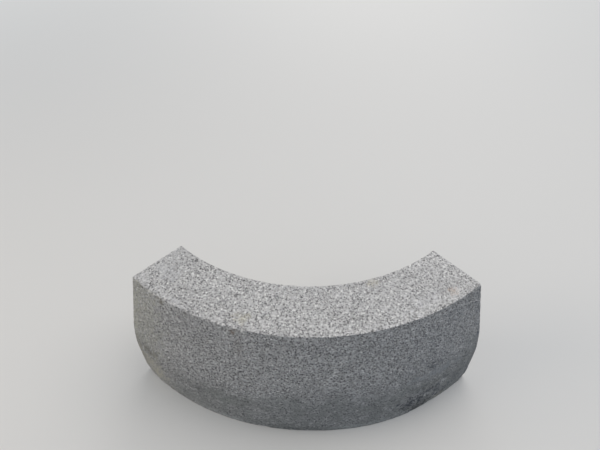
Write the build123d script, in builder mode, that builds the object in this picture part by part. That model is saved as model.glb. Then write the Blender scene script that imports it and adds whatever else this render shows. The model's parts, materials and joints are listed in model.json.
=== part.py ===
from build123d import *
import os
from math import cos, radians, sin

# Curved granite kerb stone for an outside corner, cut from one block.
# Millimetres, +Z up. It stands on its base at Z = 0, with the convex road face towards -Y.
# The origin is under the middle of its outer size.

# Plan: a piece of a ring about an upright axis
outer_radius = 500.0  # from the ring's axis to the top arris of the road face
arc_angle = 86.0  # degrees between the two end joints

# Section: half battered, so the road face leans out only where it will show
height = 300.0
top_width = 120.0
face_height = 160.0  # the dressed part, from the top down to the road's level
batter = 35.0  # how far the dressed part leans out over that height
set_back = 8.0  # how far the buried part comes back in towards its foot

# Edges
top_arris = 2.0
foot_arris = 3.0
end_arris = 1.5
turn_radius = 300.0  # the blunt turn from the dressed part to the buried one

# Spalls along the top arris of the road face, where the tool broke a little more away:
# degrees along the ring from the middle towards +X, length along the arris, depth into it
spalls = [
    (-34.2, 18.0, 4.0),
    (-27.2, 16.0, 3.0),
    (-13.4, 20.0, 4.0),
]

half_angle = arc_angle / 2
inner_radius = outer_radius - top_width
turn_height = height - face_height
widest_radius = outer_radius + batter
foot_radius = widest_radius - set_back

# The plane of the -X end joint, where the section is drawn: X runs out from the ring's axis
joint_plane = Plane(
    origin=(0, 0, 0),
    x_dir=(-sin(radians(half_angle)), -cos(radians(half_angle)), 0),
    z_dir=(-cos(radians(half_angle)), sin(radians(half_angle)), 0),
)

with BuildPart() as ring_piece:
    # Section across the stone, with its arrises already taken off
    with BuildSketch(joint_plane) as section:
        with BuildLine():
            Polyline(
                (inner_radius, 0),
                (foot_radius, 0),
                (widest_radius, turn_height),
                (outer_radius, height),
                (inner_radius, height),
                close=True,
            )
        make_face()
        fillet(section.vertices().sort_by(Axis.X)[-1], radius=turn_radius)
        fillet(section.vertices().group_by(Axis.Y)[-1], radius=top_arris)
        fillet(section.vertices().group_by(Axis.Y)[0], radius=foot_arris)

    # The kerb's curve, from one end joint to the other
    revolve(axis=Axis.Z, revolution_arc=arc_angle)

    # The end joints are flat and square to the curve, with their edges just eased
    end_joints = ring_piece.faces().filter_by(GeomType.PLANE).filter_by(Axis.Z, reverse=True)
    fillet(end_joints.edges(), radius=end_arris)

    # Each spall is a shallow round hollow whose middle bites into the arris at 45 degrees
    for angle, length, bite in spalls:
        hollow_radius = (length**2 / 4 + bite**2) / (2 * bite)
        outset = (hollow_radius - bite) * sin(radians(45))
        out = outer_radius + outset
        middle = (out * sin(radians(angle)), -out * cos(radians(angle)), height + outset)
        with Locations(middle):
            Sphere(hollow_radius, mode=Mode.SUBTRACT)

# So far the origin is on the ring's axis: it goes under the middle of the stone
outer_size = ring_piece.part.bounding_box()
kerb_stone = ring_piece.part.moved(Location((0, -outer_size.center().Y, 0)))
kerb_stone.label = "kerb_stone"

os.makedirs("parts", exist_ok=True)
export_step(kerb_stone, "parts/kerb_stone.step")
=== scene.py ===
import json
from math import atan2, cos, degrees, exp, hypot, radians, sin, tan

import bmesh
import bpy
from mathutils import Matrix, Vector, noise


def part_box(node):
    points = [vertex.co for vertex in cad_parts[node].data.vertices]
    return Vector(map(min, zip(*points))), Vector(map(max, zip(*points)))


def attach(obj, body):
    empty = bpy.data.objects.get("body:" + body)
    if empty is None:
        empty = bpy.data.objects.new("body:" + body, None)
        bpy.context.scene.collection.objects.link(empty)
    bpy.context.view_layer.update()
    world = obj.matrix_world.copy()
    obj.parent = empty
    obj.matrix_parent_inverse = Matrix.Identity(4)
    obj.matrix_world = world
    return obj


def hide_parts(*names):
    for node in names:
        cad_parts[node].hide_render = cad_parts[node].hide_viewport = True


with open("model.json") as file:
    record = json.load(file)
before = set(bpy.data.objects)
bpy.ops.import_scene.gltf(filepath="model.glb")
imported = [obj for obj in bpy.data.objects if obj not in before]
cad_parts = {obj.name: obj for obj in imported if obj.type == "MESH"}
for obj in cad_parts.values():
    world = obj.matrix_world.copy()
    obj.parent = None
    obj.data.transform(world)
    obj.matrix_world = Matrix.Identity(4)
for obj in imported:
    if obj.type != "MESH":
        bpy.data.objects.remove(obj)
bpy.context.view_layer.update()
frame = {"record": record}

# A curved granite kerb stone: one block, its top and road face bush-hammered, the rest left as sawn.
# Lengths are in metres, so a millimetre is MM. Left and right are as seen from before the road face.
MM = 0.001

# The ring that the stone is a piece of, from the joint plane of its +X end
mounts = {mount["name"]: mount for mount in frame["record"]["mounts"]}
end_place, end_axis = mounts["end_right"]["pos_m"], mounts["end_right"]["axis"]
half_angle = atan2(end_axis[1], end_axis[0])
ring_y = end_place[1] + end_place[0] / tan(half_angle)

# Section, as the stone is cut
stone_low, stone_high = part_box("kerb_stone")
height = stone_high.z - stone_low.z
outer_radius = 500 * MM
top_width = 120 * MM
face_height = 160 * MM
batter = 35 * MM
set_back = 8 * MM
top_arris = 2 * MM
foot_arris = 3 * MM
end_arris = 1.5 * MM
turn_radius = 300 * MM
inner_radius = outer_radius - top_width
turn_height = height - face_height
widest_radius = outer_radius + batter
foot_radius = widest_radius - set_back

# Mesh: how far apart its points stand, close on the sides that are dressed, and in how many steps
# it goes round the ring and round its corners. A narrow rim runs round each flat end
dressed_step = 2.15 * MM
sawn_step = 7 * MM
ring_steps = 350
arris_segments, end_segments, turn_segments = 3, 2, 20
end_margin = 1 * MM
merge_distance = 0.01 * MM

# In every list of waves, each row is their length, their reach and a shift that sets them apart.
# The top and the road face are a little uneven, and more so where they weren't hammered
block_waves = [(110 * MM, 0.25 * MM, 6.0), (38 * MM, 0.15 * MM, 0.0)]
rough_waves = [(9 * MM, 0.3 * MM, 2.0), (33 * MM, 0.4 * MM, 4.0)]

# The saw left upright marks on the inner side
saw_mark_pitch = 9 * MM
saw_mark_depth = 0.12 * MM

# Bush hammer: its points left pits side by side, struck harder in some places than in others, and
# crushed the crystals
pit_pitch = 6.2 * MM
pit_slope = 0.62  # of the pitch, from the pit's floor up to its rim
pit_floor = 0.15  # of that slope, from the pit's middle
pit_depth = 0.9 * MM
strike_length = 24 * MM
crush_size = 2.6 * MM
crush_depth = 0.3 * MM

# It was held lighter along the top arrises: their radius, the share of its marks that is missing
# there, and how far from the arris
spared_arrises = [(outer_radius, 0.5, 4 * MM), (inner_radius, 0.8, 6 * MM)]

# How far down the road face it went: degrees from the middle, mm below the top. The line that this
# gives is ragged, and the hammering fades out across it
hammered_down_to = [
    (-43, 195),
    (-40, 235),
    (-36, 250),
    (-30, 240),
    (-19, 190),
    (-10, 174),
    (0, 161),
    (8, 162),
    (14, 180),
    (19, 180),
    (23, 162),
    (30, 158),
    (35, 146),
    (39, 127),
    (43, 118),
]
line_waves = [(34 * MM, 22 * MM, 3.0), (12 * MM, 20 * MM, 5.0)]
line_fade = 50 * MM

# Bites out of the top arrises: radius, and how deep they go at the left and elsewhere. The left
# begins at left_from degrees left of the middle and has its full depth left_fade degrees further.
# The reach of their waves is a share of that depth, and bite_lift makes the bites a little wider
bitten_arrises = [(outer_radius, 4.5 * MM, 1 * MM), (inner_radius, 0.8 * MM, 0.6 * MM)]
left_from, left_fade = 2, 16
bite_waves = [(11 * MM, 1.0, 7.0), (4 * MM, 0.6, 8.0)]
bite_lift = 0.1
bite_reach = 4 * MM
least_bite = 0.02  # a smaller share than this is left out

# The foot was left rough: degrees from the middle, how far it is broken back in mm, or stands out
# where that is less than 0
broken_back = [
    (-43, 1.2),
    (-38, 0.2),
    (-20, 0.2),
    (-9, 0.8),
    (0, 1.1),
    (7, 0.0),
    (16, -1.8),
    (24, -2.0),
    (30, 0.2),
    (36, 1.3),
    (43, 1.2),
]
foot_waves = [(14 * MM, 0.5 * MM, 4.0)]
foot_reach = 16 * MM  # up the road face
under_reach, under_fade = 30 * MM, 25 * MM  # how far in it starts, and over how far it deepens
foot_end_wear, foot_end_reach = 1.2 * MM, 9 * MM  # besides, at the two ends
least_foot_wear = 0.01  # a smaller share than this is left out

# Spalls: degrees from the middle, radius and height where each was struck off, its length and
# depth, all in mm, and how many degrees above the level it was struck from
spalls = [
    (-34.2, 500, 300, 18, 4, 45),
    (-30.0, 500, 300, 27, 1.8, 75),
    (-27.2, 500, 300, 16, 3, 45),
    (-13.4, 500, 300, 20, 4, 45),
    (43.7, 500, 300, 24, 6, 50),
    (31.4, 527, 0, 34, 6, -45),
    (25.0, 532, 92, 64, 2.8, -10),
    (31.0, 532, 90, 66, 3.0, -8),
    (36.8, 532, 84, 60, 2.6, -10),
    (23.6, 530, 44, 34, 2.8, 0),
    (27.0, 530, 38, 30, 3.2, 10),
    (35.4, 529, 28, 44, 2.4, -10),
    (21.6, 530, 58, 30, 3.0, 0),
    (26.4, 530, 72, 26, 3.0, 15),
    (29.4, 529, 56, 30, 3.4, 5),
    (33.2, 530, 74, 28, 3.0, 12),
    (31.6, 528, 34, 28, 3.2, -5),
    (-34.5, 529, 26, 60, 1.4, -8),
    (-9.2, 527, 0, 30, 5, -45),
    (-2.6, 527, 0, 20, 3.5, -45),
    (-38.5, 532, 118, 26, 2.0, 0),
]
spall_waves = [(5 * MM, 0.4 * MM, 1.5)]

# Patches of colour: stains and dust that the stone has, and in places painted light and painted shade,
# where the stone is made lighter or darker for how light falls on it. Each is degrees from the middle,
# mm down the road face from its top arris (less than 0 is in on the top), reach in mm along the ring
# and across it, strength and colour
stains_and_painted_light = [
    (-13.9, -26, 16, 13, 0.3, "#B9B49C"),
    (19.5, -109, 12, 8, 0.25, "#BCB59B"),
    (36.3, -23, 10, 10, 0.35, "#C4AA94"),
    (-36.9, -55, 22, 20, 0.3, "#BFC0C4"),
    (27.0, -62, 170, 62, 0.07, "#E8E8EC"),
    (0.0, -104, 60, 14, 0.15, "#E0E0E2"),
    # Partly a painted highlight along the lit outer arris, partly whiter bruised crystals
    (31.0, -15, 90, 11, 0.28, "#E4E4E4"),
    (-32.5, -8, 26, 7, 0.35, "#CFCFD0"),
    (-41.0, -7, 16, 12, 0.45, "#D2D2D2"),
    (-41.0, -85, 36, 42, 0.3, "#C0C1C2"),
    # Painted shadow just below the worn top arris
    (-40.4, 5, 16, 4, 0.5, "#7B7973"),
    (-30.0, -10, 12, 5, 0.6, "#C8C8CA"),
    (29.0, -30, 34, 9, 0.3, "#C9C9CC"),
    # Painted shadows just below the chips in the top arris
    (-34.4, 3, 4, 4, 0.7, "#77736C"),
    (-33.2, 9, 4, 6, 0.7, "#77736C"),
    (-26.6, 8, 7, 4, 0.5, "#74726E"),
    (-23.5, 3, 5, 3, 0.5, "#74726E"),
    (-14.8, 10, 8, 9, 0.4, "#9C9083"),
    (-13.8, 45, 9, 26, 0.2, "#857A70"),
    (-40.0, 90, 60, 110, 0.3, "#C1C1B2"),
    (-42.0, 80, 14, 100, 0.55, "#C3C4BA"),
    (34.0, 90, 100, 90, 0.2, "#868C94"),
    (-42.0, 225, 12, 64, 0.5, "#A19E93"),
    (-38.4, 250, 38, 42, 0.6, "#CCC9BB"),
    (-38.2, 180, 14, 16, 0.6, "#7A7871"),
    (-35.8, 181, 7, 22, 0.4, "#B9B6AA"),
    # Painted light: lighter along the foot, against the shade from the floor
    (-28.0, 286, 50, 14, 0.12, "#B9B8B2"),
    (-18.0, 212, 34, 18, 0.2, "#A9B0AA"),
    (-21.0, 197, 105, 24, 0.3, "#777A78"),
    (-24.0, 216, 6, 6, 0.5, "#6F6F6E"),
    (-24.0, 250, 70, 28, 0.22, "#777A78"),
    # Painted shade in the crease below the turn, where the road face faces down
    (-40.5, 172, 46, 18, 0.25, "#7C7A72"),
    # Painted light where the road face is lit from above, just over the ridge at the turn
    (30.0, 163, 50, 10, 0.45, "#B4B8BC"),
    # A dark patch over the right of the foot
    (26.0, 262, 40, 20, 0.75, "#50545A"),
    (28.0, 284, 26, 16, 0.8, "#4E5052"),
    (31.0, 240, 24, 9, 0.5, "#585C64"),
    (34.0, 268, 18, 14, 0.65, "#565A62"),
    (33.5, 287, 16, 6, 0.5, "#A9A690"),
    # Painted shade: darker along the right end
    (42.6, 70, 13, 90, 0.25, "#787E84"),
    (42.6, 210, 13, 90, 0.4, "#6C7278"),
    (29.2, 138, 24, 10, 0.5, "#6D7174"),
    (38.0, 22, 44, 26, 0.12, "#7C838A"),
    # Painted light along the foot's lower edge, against the shade from the floor
    (-20.0, 292, 50, 8, 0.6, "#C8CBC8"),
    # Painted shade under the foot's undercut middle
    (-2.0, 289, 60, 12, 0.45, "#6C706E"),
    (39.5, 250, 40, 50, 0.25, "#6B7177"),
    # Painted light along the foot's lower edge, against the shade from the floor
    (12.0, 292, 60, 8, 0.5, "#C2C6C3"),
]
patch_waves = [(9 * MM, 0.5, 5.0), (4 * MM, 0.4, 6.0)]

# A patch fades out to nothing at its edge, this many reaches from its middle, more or less by its
# raggedness, and stops at its limit
patch_edge, patch_raggedness, patch_limit = 1.4, 1.6, 2.0

# A normal across the section faces down, in or up where it is past these, and is nothing where it is
# shorter than least_across
facing_down, facing_in, facing_up = -0.7, -0.5, 0.5
least_across = 0.1


def on_ring(angle, radius, z):
    """The place at an angle from the middle, a distance from the ring's axis and a height."""
    return Vector((radius * sin(angle), ring_y - radius * cos(angle), z))


def ring_place(point):
    """A point's angle from the middle, its distance from the ring's axis and its height."""
    return atan2(point.x, ring_y - point.y), hypot(point.x, ring_y - point.y), point.z


def ease(share):
    """Rises smoothly from 0 to 1 as share does."""
    share = min(1.0, max(0.0, share))
    return share * share * (3 - 2 * share)


def follow(line, place):
    """The height of a line through points, eased from each point to the next."""
    for (start, low), (end, high) in zip(line, line[1:]):
        if place <= end:
            return low + (high - low) * ease((place - start) / (end - start))
    return line[-1][1]


def waves(point, length, shift):
    """Slow even waves from -1 to 1, about that long."""
    return noise.noise(point / length + Vector((shift, 0, 0)))


def wavering(point, layers):
    """Layers of waves together, each as far as its reach either way."""
    return sum(reach * waves(point, length, shift) for length, reach, shift in layers)


def unevenness(point, layers):
    """Layers of waves together as a depth, each from 0 to twice its reach."""
    return sum(reach * (1 + waves(point, length, shift)) for length, reach, shift in layers)


def wall_normal(vertex, angle):
    """The way out of the stone there, across its section, as distance from the axis and height.

    Nothing of it is left on the flat ends, which face along the ring."""
    out = Vector((sin(angle), -cos(angle), 0))
    across = Vector((vertex.normal.dot(out), vertex.normal.z))
    return across.normalized() if across.length > least_across else Vector((0, 0))


def side_facing(normal):
    """Which side of the stone faces that way. The top and the road face are the dressed ones."""
    if normal.length == 0:
        return "end"
    if normal.y < facing_down:
        return "base"
    return "inner" if normal.x < facing_in else "dressed"


def hammered_share(angle, z, normal, point):
    """1 where the bush hammer went, 0 where the stone is as sawn."""
    if normal.y > facing_up:
        return 1.0
    if normal.x < 0:
        return ease(normal.y / facing_up)
    line = follow(hammered_down_to, degrees(angle)) * MM + wavering(point, line_waves)
    return ease((line - (height - z)) / line_fade + 0.5)


def near_arris(arris, radius, z, reach):
    """1 on the top arris of that radius, falling off to about a third at that reach."""
    return exp(-((radius - arris) ** 2 + (z - height) ** 2) / reach ** 2)


def hammer_marks(point):
    """Depth of the bush hammer's pits and of the crushed crystals in and between them."""
    nearest = noise.voronoi(point / pit_pitch)[0][0]
    strike = 0.75 + 0.5 * waves(point, strike_length, 1.0)
    crushed = 0.5 + 0.5 * waves(point, crush_size, 2.0)
    return pit_depth * ease(1 + pit_floor - nearest / pit_slope) * strike + crush_depth * crushed


def spared(radius, z):
    """The share of the hammer's marks that is missing along the top arrises."""
    return sum(share * near_arris(arris, radius, z, reach) for arris, share, reach in spared_arrises)


def arris_wear(angle, radius, z, point):
    """How much is knocked off the two top arrises, most at the road face's left."""
    worn = 0.0
    for arris, left, elsewhere in bitten_arrises:
        near = near_arris(arris, radius, z, bite_reach)
        if near > least_bite:
            most = elsewhere + (left - elsewhere) * ease((-degrees(angle) - left_from) / left_fade)
            worn += near * most * max(0.0, wavering(point, bite_waves) + bite_lift)
    return worn


def foot_wear(angle, radius, z, point):
    """How far in the foot of the road face is broken back."""
    near = exp(-((z / foot_reach) ** 2)) * ease((radius - foot_radius + under_reach) / under_fade)
    if near < least_foot_wear:
        return 0.0
    broken = follow(broken_back, degrees(angle)) * MM + unevenness(point, foot_waves)
    from_end = (half_angle - abs(angle)) * radius
    return near * (broken + foot_end_wear * exp(-((from_end / foot_end_reach) ** 2)))


def relief(angle, radius, z, normal, point):
    """Depth under the full section, and how hammered the stone is there."""
    side = side_facing(normal)
    if side in ("end", "base"):
        return 0.0, 0.0
    hammered = hammered_share(angle, z, normal, point)
    depth = arris_wear(angle, radius, z, point)
    if side == "inner":
        along = Vector((angle * radius / saw_mark_pitch, 0, 0))
        return depth + saw_mark_depth * (1 + noise.noise(along)), hammered
    if hammered > 0:
        depth += hammered * hammer_marks(point) * (1 - spared(radius, z))
    depth += (1 - hammered) * unevenness(point, rough_waves)
    return depth + unevenness(point, block_waves), hammered


def linear(hex_colour):
    """An sRGB hex colour as linear red, green, blue and alpha."""
    parts = [int(hex_colour[i:i + 2], 16) / 255 for i in (1, 3, 5)]
    parts = [part / 12.92 if part <= 0.04045 else ((part + 0.055) / 1.055) ** 2.4 for part in parts]
    return [*parts, 1.0]


def stain_and_painted_light(angle, radius, z, point):
    """The colour of the stains and of the painted light and shade at a place, and how strong they are,
    patchy towards their edges.
    """
    down = height - z if z < height - top_arris else radius - outer_radius
    patchy = wavering(point, patch_waves)
    colour, strength = Vector((0, 0, 0)), 0.0
    for middle, below, along, across, share, hex_colour in stains_and_painted_light:
        if (below < 0) != (down < 0):
            continue
        beside = radians(degrees(angle) - middle) * radius
        away = hypot(beside / (along * MM), (down - below * MM) / (across * MM))
        if away >= patch_limit:
            continue
        part = share * ease(patch_edge - away + patch_raggedness * patchy) * (1 + patchy)
        if part > 0:
            colour = colour.lerp(Vector(linear(hex_colour)[:3]), part / (part + strength))
            strength = part + strength * (1 - part)
    return [*colour, min(1.0, strength)]


def corner_length(before, corner, after, radius):
    """How far along its sides from a corner an arc of that radius starts."""
    return radius / tan((before - corner).angle(after - corner) / 2)


def section(mesh):
    """The stone's section on the joint plane of its -X end, as one face with eased corners."""
    corners = [
        (inner_radius, 0, foot_arris, arris_segments),
        (foot_radius, 0, foot_arris, arris_segments),
        (widest_radius, turn_height, turn_radius, turn_segments),
        (outer_radius, height, top_arris, arris_segments),
        (inner_radius, height, top_arris, arris_segments),
    ]
    vertices = [mesh.verts.new(on_ring(-half_angle, radius, z)) for radius, z, _, _ in corners]
    places = [vertex.co.copy() for vertex in vertices]
    mesh.faces.new(vertices)
    for i, (_, _, arris, segments) in enumerate(corners):
        length = corner_length(places[i - 1], places[i], places[(i + 1) % len(places)], arris)
        bmesh.ops.bevel(
            mesh, geom=[vertices[i]], offset=length, offset_type="OFFSET", segments=segments,
            profile=0.5, affect="VERTICES", material=-1,
        )


def divide_sides(mesh):
    """Divides the section's sides, finely where they are dressed."""
    for edge in mesh.edges[:]:
        ends = [ring_place(vertex.co) for vertex in edge.verts]
        base = all(z < foot_arris for _, _, z in ends)
        inside = all(radius < inner_radius + top_arris / 2 for _, radius, _ in ends)
        step = sawn_step if base or inside else dressed_step
        cuts = round(edge.calc_length() / step) - 1
        if cuts > 0:
            bmesh.ops.subdivide_edges(mesh, edges=[edge], cuts=cuts)


def end_faces(mesh):
    """The two flat ends, the only faces with more than four corners."""
    return [face for face in mesh.faces if len(face.verts) > 4]


def dress(mesh):
    """Moves each point in from the full section to the worked surface, and notes how it looks there."""
    hammered_layer = mesh.verts.layers.float.new("hammered")
    stain_and_light_layer = mesh.verts.layers.float_color.new("stain_and_painted_light")
    mesh.normal_update()
    moves = []
    for vertex in mesh.verts:
        angle, radius, z = ring_place(vertex.co)
        normal = wall_normal(vertex, angle)
        depth, vertex[hammered_layer] = relief(angle, radius, z, normal, vertex.co)
        dressed = side_facing(normal) == "dressed"
        vertex[stain_and_light_layer] = stain_and_painted_light(angle, radius, z, vertex.co) if dressed else (0, 0, 0, 0)
        worked_radius = radius - depth * normal.x - foot_wear(angle, radius, z, vertex.co)
        moves.append((vertex, on_ring(angle, worked_radius, z - depth * normal.y)))
    for vertex, place in moves:
        vertex.co = place


def spall(mesh):
    """Takes the spalls out of the stone, as shallow hollows with a rough floor."""
    for angle, radius, z, length, bite, tilt in spalls:
        # A ball that sinks in as deep as the bite leaves a hollow of that length
        ball = (length ** 2 / 4 + bite ** 2) / (2 * bite)
        out, up = (ball - bite) * cos(radians(tilt)), (ball - bite) * sin(radians(tilt))
        middle = on_ring(radians(angle), (radius + out) * MM, (z + up) * MM)
        for vertex in mesh.verts:
            away = vertex.co - middle
            rough = ball * MM + wavering(vertex.co, spall_waves)
            if away.length < rough:
                vertex.co = middle + away.normalized() * rough


def kerb_stone_mesh():
    """The whole stone: its section spun through the arc, its ends eased, and then worked."""
    mesh = bmesh.new()
    section(mesh)
    divide_sides(mesh)
    bmesh.ops.spin(
        mesh, geom=mesh.verts[:] + mesh.edges[:] + mesh.faces[:], cent=(0, ring_y, 0), axis=(0, 0, 1),
        angle=2 * half_angle, steps=ring_steps,
    )
    bmesh.ops.remove_doubles(mesh, verts=mesh.verts, dist=merge_distance)
    bmesh.ops.recalc_face_normals(mesh, faces=mesh.faces)
    bmesh.ops.bevel(
        mesh, geom=[edge for face in end_faces(mesh) for edge in face.edges], offset=end_arris,
        offset_type="OFFSET", segments=end_segments, profile=0.5, affect="EDGES", material=-1,
    )
    bmesh.ops.inset_individual(mesh, faces=end_faces(mesh), thickness=end_margin, use_even_offset=True)
    dress(mesh)
    spall(mesh)
    for face in mesh.faces:
        face.smooth = len(face.verts) <= 4
    return mesh


def finished_piece(name, mesh):
    """Makes a mesh an object of that name, with its place in its mesh."""
    data = bpy.data.meshes.new(name)
    mesh.to_mesh(data)
    mesh.free()
    piece = bpy.data.objects.new(name, data)
    bpy.context.scene.collection.objects.link(piece)
    return piece


def empty_tree(owner):
    """The node tree of a material or a world, with nothing in it."""
    owner.use_nodes = True
    owner.node_tree.nodes.clear()
    return owner.node_tree


def add(tree, kind, sockets, **settings):
    """Adds a node with its settings, and gives each socket, by name or number, its value or its link."""
    node = tree.nodes.new(kind)
    for name, value in settings.items():
        setattr(node, name, value)
    for socket, value in sockets.items():
        if isinstance(value, bpy.types.NodeSocket):
            tree.links.new(value, node.inputs[socket])
        else:
            node.inputs[socket].default_value = value
    return node


def set_stops(color_ramp, stops):
    """Gives a colour ramp its stops, as places and hex colours."""
    while len(color_ramp.elements) < len(stops):
        color_ramp.elements.new(1.0)
    for element, (place, colour) in zip(color_ramp.elements, stops):
        element.position = place
        element.color = linear(colour)


# Sockets that are known by number, because others have the same names: of a Mix node that mixes
# colours, of one that mixes numbers, and of a Mix Shader
MIX_SHARE, MIX_FIRST, MIX_SECOND, MIX_RESULT = 0, 6, 7, 2
MIX_FIRST_NUMBER, MIX_SECOND_NUMBER, MIX_NUMBER = 2, 3, 0
SHADER_SHARE, FIRST_SHADER, SECOND_SHADER = 0, 1, 2

# Patterns of the granite. Crystals and mica flakes of 1 to 2 mm and crushed ones under 1 mm would be
# too fine to show, because a pixel of the photograph is about 2 mm, so all three are drawn coarser
crystal_size = 3 * MM
flake_size = 2.2 * MM
crushed_size = 1.2 * MM
ragged_size, ragged_reach = 2 * MM, 2.2 * MM
slow_size = 70 * MM
small_pit_pitch = 5 * MM  # besides the pits that are in the mesh
blotch_size = 20 * MM
broken_up_size = 4 * MM
saw_line_size, saw_line_stretch = 6 * MM, (1, 1, 0.03)
saw_line_height = 0.3  # of the bump's
bump_height = 1.2 * MM


def ragged_place(tree, place):
    """The place, shifted a little and never the same way for long, because crystals are ragged."""
    bend = add(tree, "ShaderNodeTexNoise", {"Vector": place, "Scale": 1 / ragged_size, "Detail": 3.0})
    bent = add(tree, "ShaderNodeVectorMath", {0: bend.outputs["Color"], "Scale": ragged_reach},
               operation="SCALE")
    ragged = add(tree, "ShaderNodeVectorMath", {0: place, 1: bent.outputs["Vector"]}, operation="ADD")
    return ragged.outputs["Vector"]


def crystals(tree, place, ragged):
    """The colour of the block itself: feldspar and quartz, with flakes of dark mica between them."""
    pale_grains = add(tree, "ShaderNodeTexVoronoi", {"Vector": ragged, "Scale": 1 / crystal_size})
    pale_tone = add(tree, "ShaderNodeSeparateColor", {"Color": pale_grains.outputs["Color"]})
    pale = add(tree, "ShaderNodeValToRGB", {"Fac": pale_tone.outputs["Red"]})
    set_stops(pale.color_ramp, [
        (0.0, "#A0A0A1"),
        (0.6, "#C0C0C0"),
        (0.88, "#D2D2D1"),
        (1.0, "#EFEFED"),
    ])
    flakes = add(tree, "ShaderNodeTexVoronoi", {"Vector": ragged, "Scale": 1 / flake_size})
    flake_tone = add(tree, "ShaderNodeSeparateColor", {"Color": flakes.outputs["Color"]})
    flake = add(tree, "ShaderNodeMapRange", {
        "Value": flake_tone.outputs["Green"], "From Min": 0.82, "From Max": 0.88,
    })
    minerals = add(tree, "ShaderNodeMix", {
        MIX_SHARE: flake.outputs["Result"], MIX_FIRST: pale.outputs["Color"], MIX_SECOND: linear("#4A4A4D"),
    }, data_type="RGBA")

    # Slow changes of tone through the block
    slow = add(tree, "ShaderNodeTexNoise", {"Vector": place, "Scale": 1 / slow_size, "Detail": 2.0})
    slow_tone = add(tree, "ShaderNodeMapRange", {
        "Value": slow.outputs["Fac"], "From Min": 0.3, "From Max": 0.7, "To Min": 0.94, "To Max": 1.06,
    })
    return add(tree, "ShaderNodeMix", {
        MIX_SHARE: 1.0, MIX_FIRST: minerals.outputs[MIX_RESULT], MIX_SECOND: slow_tone.outputs["Result"],
    }, data_type="RGBA", blend_type="MULTIPLY").outputs[MIX_RESULT]


def hammered_finish(tree, place, ragged, block):
    """Colour and height where the hammer went: small pits darkened by dust and painted shade, and powdered
    crystals.
    """
    struck = add(tree, "ShaderNodeTexVoronoi", {"Vector": ragged, "Scale": 1 / small_pit_pitch})
    pit = add(tree, "ShaderNodeMapRange", {
        "Value": struck.outputs["Distance"], "From Min": 0.55, "From Max": 0.12,
    }, interpolation_type="SMOOTHSTEP").outputs["Result"]
    crush = add(tree, "ShaderNodeTexNoise", {"Vector": place, "Scale": 1 / crushed_size, "Detail": 3.0})
    powder = add(tree, "ShaderNodeMapRange", {
        "Value": crush.outputs["Fac"], "From Min": 0.4, "From Max": 0.65, "To Min": 0.05, "To Max": 0.5,
    })
    powdered = add(tree, "ShaderNodeMix", {
        MIX_SHARE: powder.outputs["Result"], MIX_FIRST: block, MIX_SECOND: linear("#C6C6C5"),
    }, data_type="RGBA")
    # Painted shade, with some dust: darker towards each pit's middle, a little lighter between the pits
    shade = add(tree, "ShaderNodeMapRange", {"Value": pit, "To Min": 1.08, "To Max": 0.6})
    colour = add(tree, "ShaderNodeMix", {
        MIX_SHARE: 1.0, MIX_FIRST: powdered.outputs[MIX_RESULT], MIX_SECOND: shade.outputs["Result"],
    }, data_type="RGBA", blend_type="MULTIPLY")
    surface = add(tree, "ShaderNodeMath", {0: pit, 1: -1.0, 2: crush.outputs["Fac"]},
                  operation="MULTIPLY_ADD")
    return colour.outputs[MIX_RESULT], surface.outputs["Value"]


def sawn_finish(tree, place, block):
    """Colour and height elsewhere: blotches of dust that hide the crystals, and upright saw marks."""
    blotches = add(tree, "ShaderNodeTexNoise", {"Vector": place, "Scale": 1 / blotch_size, "Detail": 3.0})
    dust = add(tree, "ShaderNodeMapRange", {
        "Value": blotches.outputs["Fac"], "From Min": 0.35, "From Max": 0.65, "To Min": 0.1, "To Max": 0.55,
    })
    colour = add(tree, "ShaderNodeMix", {
        MIX_SHARE: dust.outputs["Result"], MIX_FIRST: block, MIX_SECOND: linear("#858986"),
    }, data_type="RGBA")
    upright = add(tree, "ShaderNodeVectorMath", {0: place, 1: saw_line_stretch}, operation="MULTIPLY")
    saw_lines = add(tree, "ShaderNodeTexNoise", {
        "Vector": upright.outputs["Vector"], "Scale": 1 / saw_line_size, "Detail": 3.0,
    })
    surface = add(tree, "ShaderNodeMath", {0: saw_lines.outputs["Fac"], 1: saw_line_height},
                  operation="MULTIPLY")
    return colour.outputs[MIX_RESULT], surface.outputs["Value"]


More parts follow.
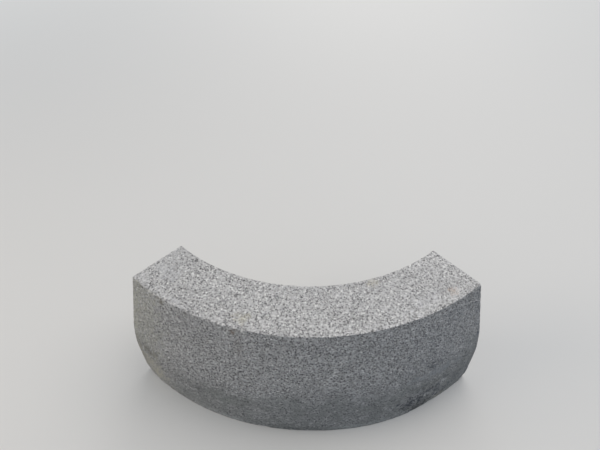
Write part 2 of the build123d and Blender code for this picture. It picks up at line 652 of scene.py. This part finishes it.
def bush_hammered_granite():
    """Grey granite of pale feldspar, quartz and dark mica, matt all over: crushed and pitted where the
    bush hammer went, dusty and flatter where it is as sawn, with stains and painted light and shade over
    both."""
    material = bpy.data.materials.new("bush_hammered_granite")
    tree = empty_tree(material)
    place = add(tree, "ShaderNodeTexCoord", {}).outputs["Object"]
    ragged = ragged_place(tree, place)
    block = crystals(tree, place, ragged)
    hammered_colour, hammered_surface = hammered_finish(tree, place, ragged, block)
    sawn_colour, sawn_surface = sawn_finish(tree, place, block)
    hammered = add(tree, "ShaderNodeAttribute", {}, attribute_name="hammered").outputs["Fac"]
    worked = add(tree, "ShaderNodeMix", {
        MIX_SHARE: hammered, MIX_FIRST: sawn_colour, MIX_SECOND: hammered_colour,
    }, data_type="RGBA")

    # The stains and the painted light and shade are broken up by the grain
    stains_and_light_there = add(tree, "ShaderNodeAttribute", {}, attribute_name="stain_and_painted_light").outputs
    broken_up = add(tree, "ShaderNodeTexNoise", {
        "Vector": place, "Scale": 1 / broken_up_size, "Detail": 2.0,
    })
    patchy = add(tree, "ShaderNodeMapRange", {
        "Value": broken_up.outputs["Fac"], "From Min": 0.35, "From Max": 0.65, "To Min": 0.3, "To Max": 1.6,
    })
    stain_and_light_share = add(tree, "ShaderNodeMath", {0: stains_and_light_there["Alpha"], 1: patchy.outputs["Result"]},
                  operation="MULTIPLY", use_clamp=True)
    colour = add(tree, "ShaderNodeMix", {
        MIX_SHARE: stain_and_light_share.outputs["Value"], MIX_FIRST: worked.outputs[MIX_RESULT],
        MIX_SECOND: stains_and_light_there["Color"],
    }, data_type="RGBA")

    surface = add(tree, "ShaderNodeMix", {
        MIX_SHARE: hammered, MIX_FIRST_NUMBER: sawn_surface, MIX_SECOND_NUMBER: hammered_surface,
    })
    bump = add(tree, "ShaderNodeBump", {
        "Height": surface.outputs[MIX_NUMBER], "Distance": bump_height, "Strength": 1.0,
    })
    shader = add(tree, "ShaderNodeBsdfPrincipled", {
        "Base Color": colour.outputs[MIX_RESULT], "Roughness": 0.85, "Normal": bump.outputs["Normal"],
    })
    add(tree, "ShaderNodeOutputMaterial", {"Surface": shader.outputs["BSDF"]})
    return material


# Camera, where the photograph was taken from: right of the ring's axis, before it and above the
# stone's top, and how many degrees it is turned left, tilted down and rolled. Its lens is given in
# pixels of the photograph, and its sensor's width in millimetres
camera_right = 18.92 * MM
camera_before_ring = 1109.97 * MM
camera_above_top = 865.44 * MM
camera_heading, camera_down, camera_roll = 2.2066, 43.8998, -0.5053
lens_pixels, image_width, sensor_width = 583.2, 600, 36.0

# Studio: the floor as it is seen and as it lights the stone, where it fades into the wall, and the
# sky that lights the stone besides the softboxes
floor_colour, floor_bounce = "#DEDEDC", "#5C5C5C"
floor_reach, floor_gap = 30, 0.2 * MM
fade_from, fade_to = 0.9, 3.2
wall_colour = "#D8D9D9"
sky_colour, sky_strength = "#E6F0FD", 0.47

# Softboxes: name, place, the point that it faces, size, watts and colour
softboxes = [
    ("overhead", (1.0, 0.4, 2.6), (0, 0, 0.2), 2.2, 31, "#FFF7EF"),
    ("left_window", (-2.4, -0.5, 1.55), (0, 0, 0.2), 1.6, 21, "#FFF0DC"),
    ("back_window", (0.3, 2.6, 1.0), (0, 0, 0.15), 1.8, 14, "#FFF7EF"),
]


def photo_camera():
    """The camera, at the photograph's viewing angle."""
    data = bpy.data.cameras.new("camera")
    data.sensor_width = sensor_width
    data.lens = lens_pixels / image_width * sensor_width
    data.clip_start, data.clip_end = 0.01, 100
    camera = bpy.data.objects.new("camera", data)
    turn = Matrix.Rotation(radians(camera_heading), 4, "Z")
    tilt = Matrix.Rotation(radians(90 - camera_down), 4, "X")
    roll = Matrix.Rotation(radians(camera_roll), 4, "Z")
    place = Vector((camera_right, ring_y - camera_before_ring, height + camera_above_top))
    camera.matrix_world = Matrix.Translation(place) @ turn @ tilt @ roll
    bpy.context.scene.collection.objects.link(camera)
    bpy.context.scene.camera = camera


def softbox(name, place, towards, size, watts, colour):
    """A square softbox that faces a point."""
    data = bpy.data.lights.new(name, "AREA")
    data.size = size
    data.energy = watts
    data.color = linear(colour)[:3]
    light = bpy.data.objects.new(name, data)
    turn = (Vector(towards) - Vector(place)).to_track_quat("-Z", "Y").to_matrix().to_4x4()
    light.matrix_world = Matrix.Translation(place) @ turn
    bpy.context.scene.collection.objects.link(light)


def seen_rays(tree):
    """1 for rays that show a thing to the camera, straight or by way of gloss or glass."""
    path = add(tree, "ShaderNodeLightPath", {}).outputs
    glossy = add(tree, "ShaderNodeMath", {0: path["Is Camera Ray"], 1: path["Is Glossy Ray"]},
                 operation="MAXIMUM")
    seen = add(tree, "ShaderNodeMath", {0: glossy.outputs["Value"], 1: path["Is Transmission Ray"]},
               operation="MAXIMUM")
    return seen.outputs["Value"]


def floor_paper():
    """Matt pale paper, which takes the stone's shadow and fades into the wall far from it."""
    material = bpy.data.materials.new("floor_paper")
    tree = empty_tree(material)
    seen = seen_rays(tree)
    colour = add(tree, "ShaderNodeMix", {
        MIX_SHARE: seen, MIX_FIRST: linear(floor_bounce), MIX_SECOND: linear(floor_colour),
    }, data_type="RGBA")
    paper = add(tree, "ShaderNodeBsdfDiffuse", {"Color": colour.outputs[MIX_RESULT]})
    place = add(tree, "ShaderNodeTexCoord", {}).outputs["Object"]
    away = add(tree, "ShaderNodeVectorMath", {0: place}, operation="LENGTH")
    faded = add(tree, "ShaderNodeMapRange", {
        "Value": away.outputs["Value"], "From Min": fade_from, "From Max": fade_to,
    }, interpolation_type="SMOOTHSTEP")
    fade = add(tree, "ShaderNodeMath", {0: faded.outputs["Result"], 1: seen}, operation="MULTIPLY")
    wall = add(tree, "ShaderNodeEmission", {"Color": linear(wall_colour)})
    surface = add(tree, "ShaderNodeMixShader", {
        SHADER_SHARE: fade.outputs["Value"], FIRST_SHADER: paper.outputs["BSDF"],
        SECOND_SHADER: wall.outputs["Emission"],
    })
    add(tree, "ShaderNodeOutputMaterial", {"Surface": surface.outputs["Shader"]})
    return material


def pale_floor():
    """A wide flat floor, just under the stone's base."""
    mesh = bmesh.new()
    bmesh.ops.create_grid(mesh, x_segments=1, y_segments=1, size=floor_reach)
    bmesh.ops.translate(mesh, verts=mesh.verts, vec=(0, 0, -floor_gap))
    floor = finished_piece("floor", mesh)
    floor.data.materials.append(floor_paper())


def wall_and_sky():
    """The world: a pale wall to look at, and a soft sky that lights the stone."""
    world = bpy.data.worlds.new("soft_sky")
    tree = empty_tree(world)
    sky = add(tree, "ShaderNodeBackground", {"Color": linear(sky_colour), "Strength": sky_strength})
    wall = add(tree, "ShaderNodeBackground", {"Color": linear(wall_colour)})
    shown = add(tree, "ShaderNodeMixShader", {
        SHADER_SHARE: seen_rays(tree), FIRST_SHADER: sky.outputs["Background"],
        SECOND_SHADER: wall.outputs["Background"],
    })
    add(tree, "ShaderNodeOutputWorld", {"Surface": shown.outputs["Shader"]})
    bpy.context.scene.world = world


stone = finished_piece("dressed_kerb_stone", kerb_stone_mesh())
stone.data.materials.append(bush_hammered_granite())
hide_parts("kerb_stone")
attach(stone, "root")

photo_camera()
pale_floor()
wall_and_sky()
for lamp in softboxes:
    softbox(*lamp)
bpy.context.scene.view_settings.view_transform = "Standard"
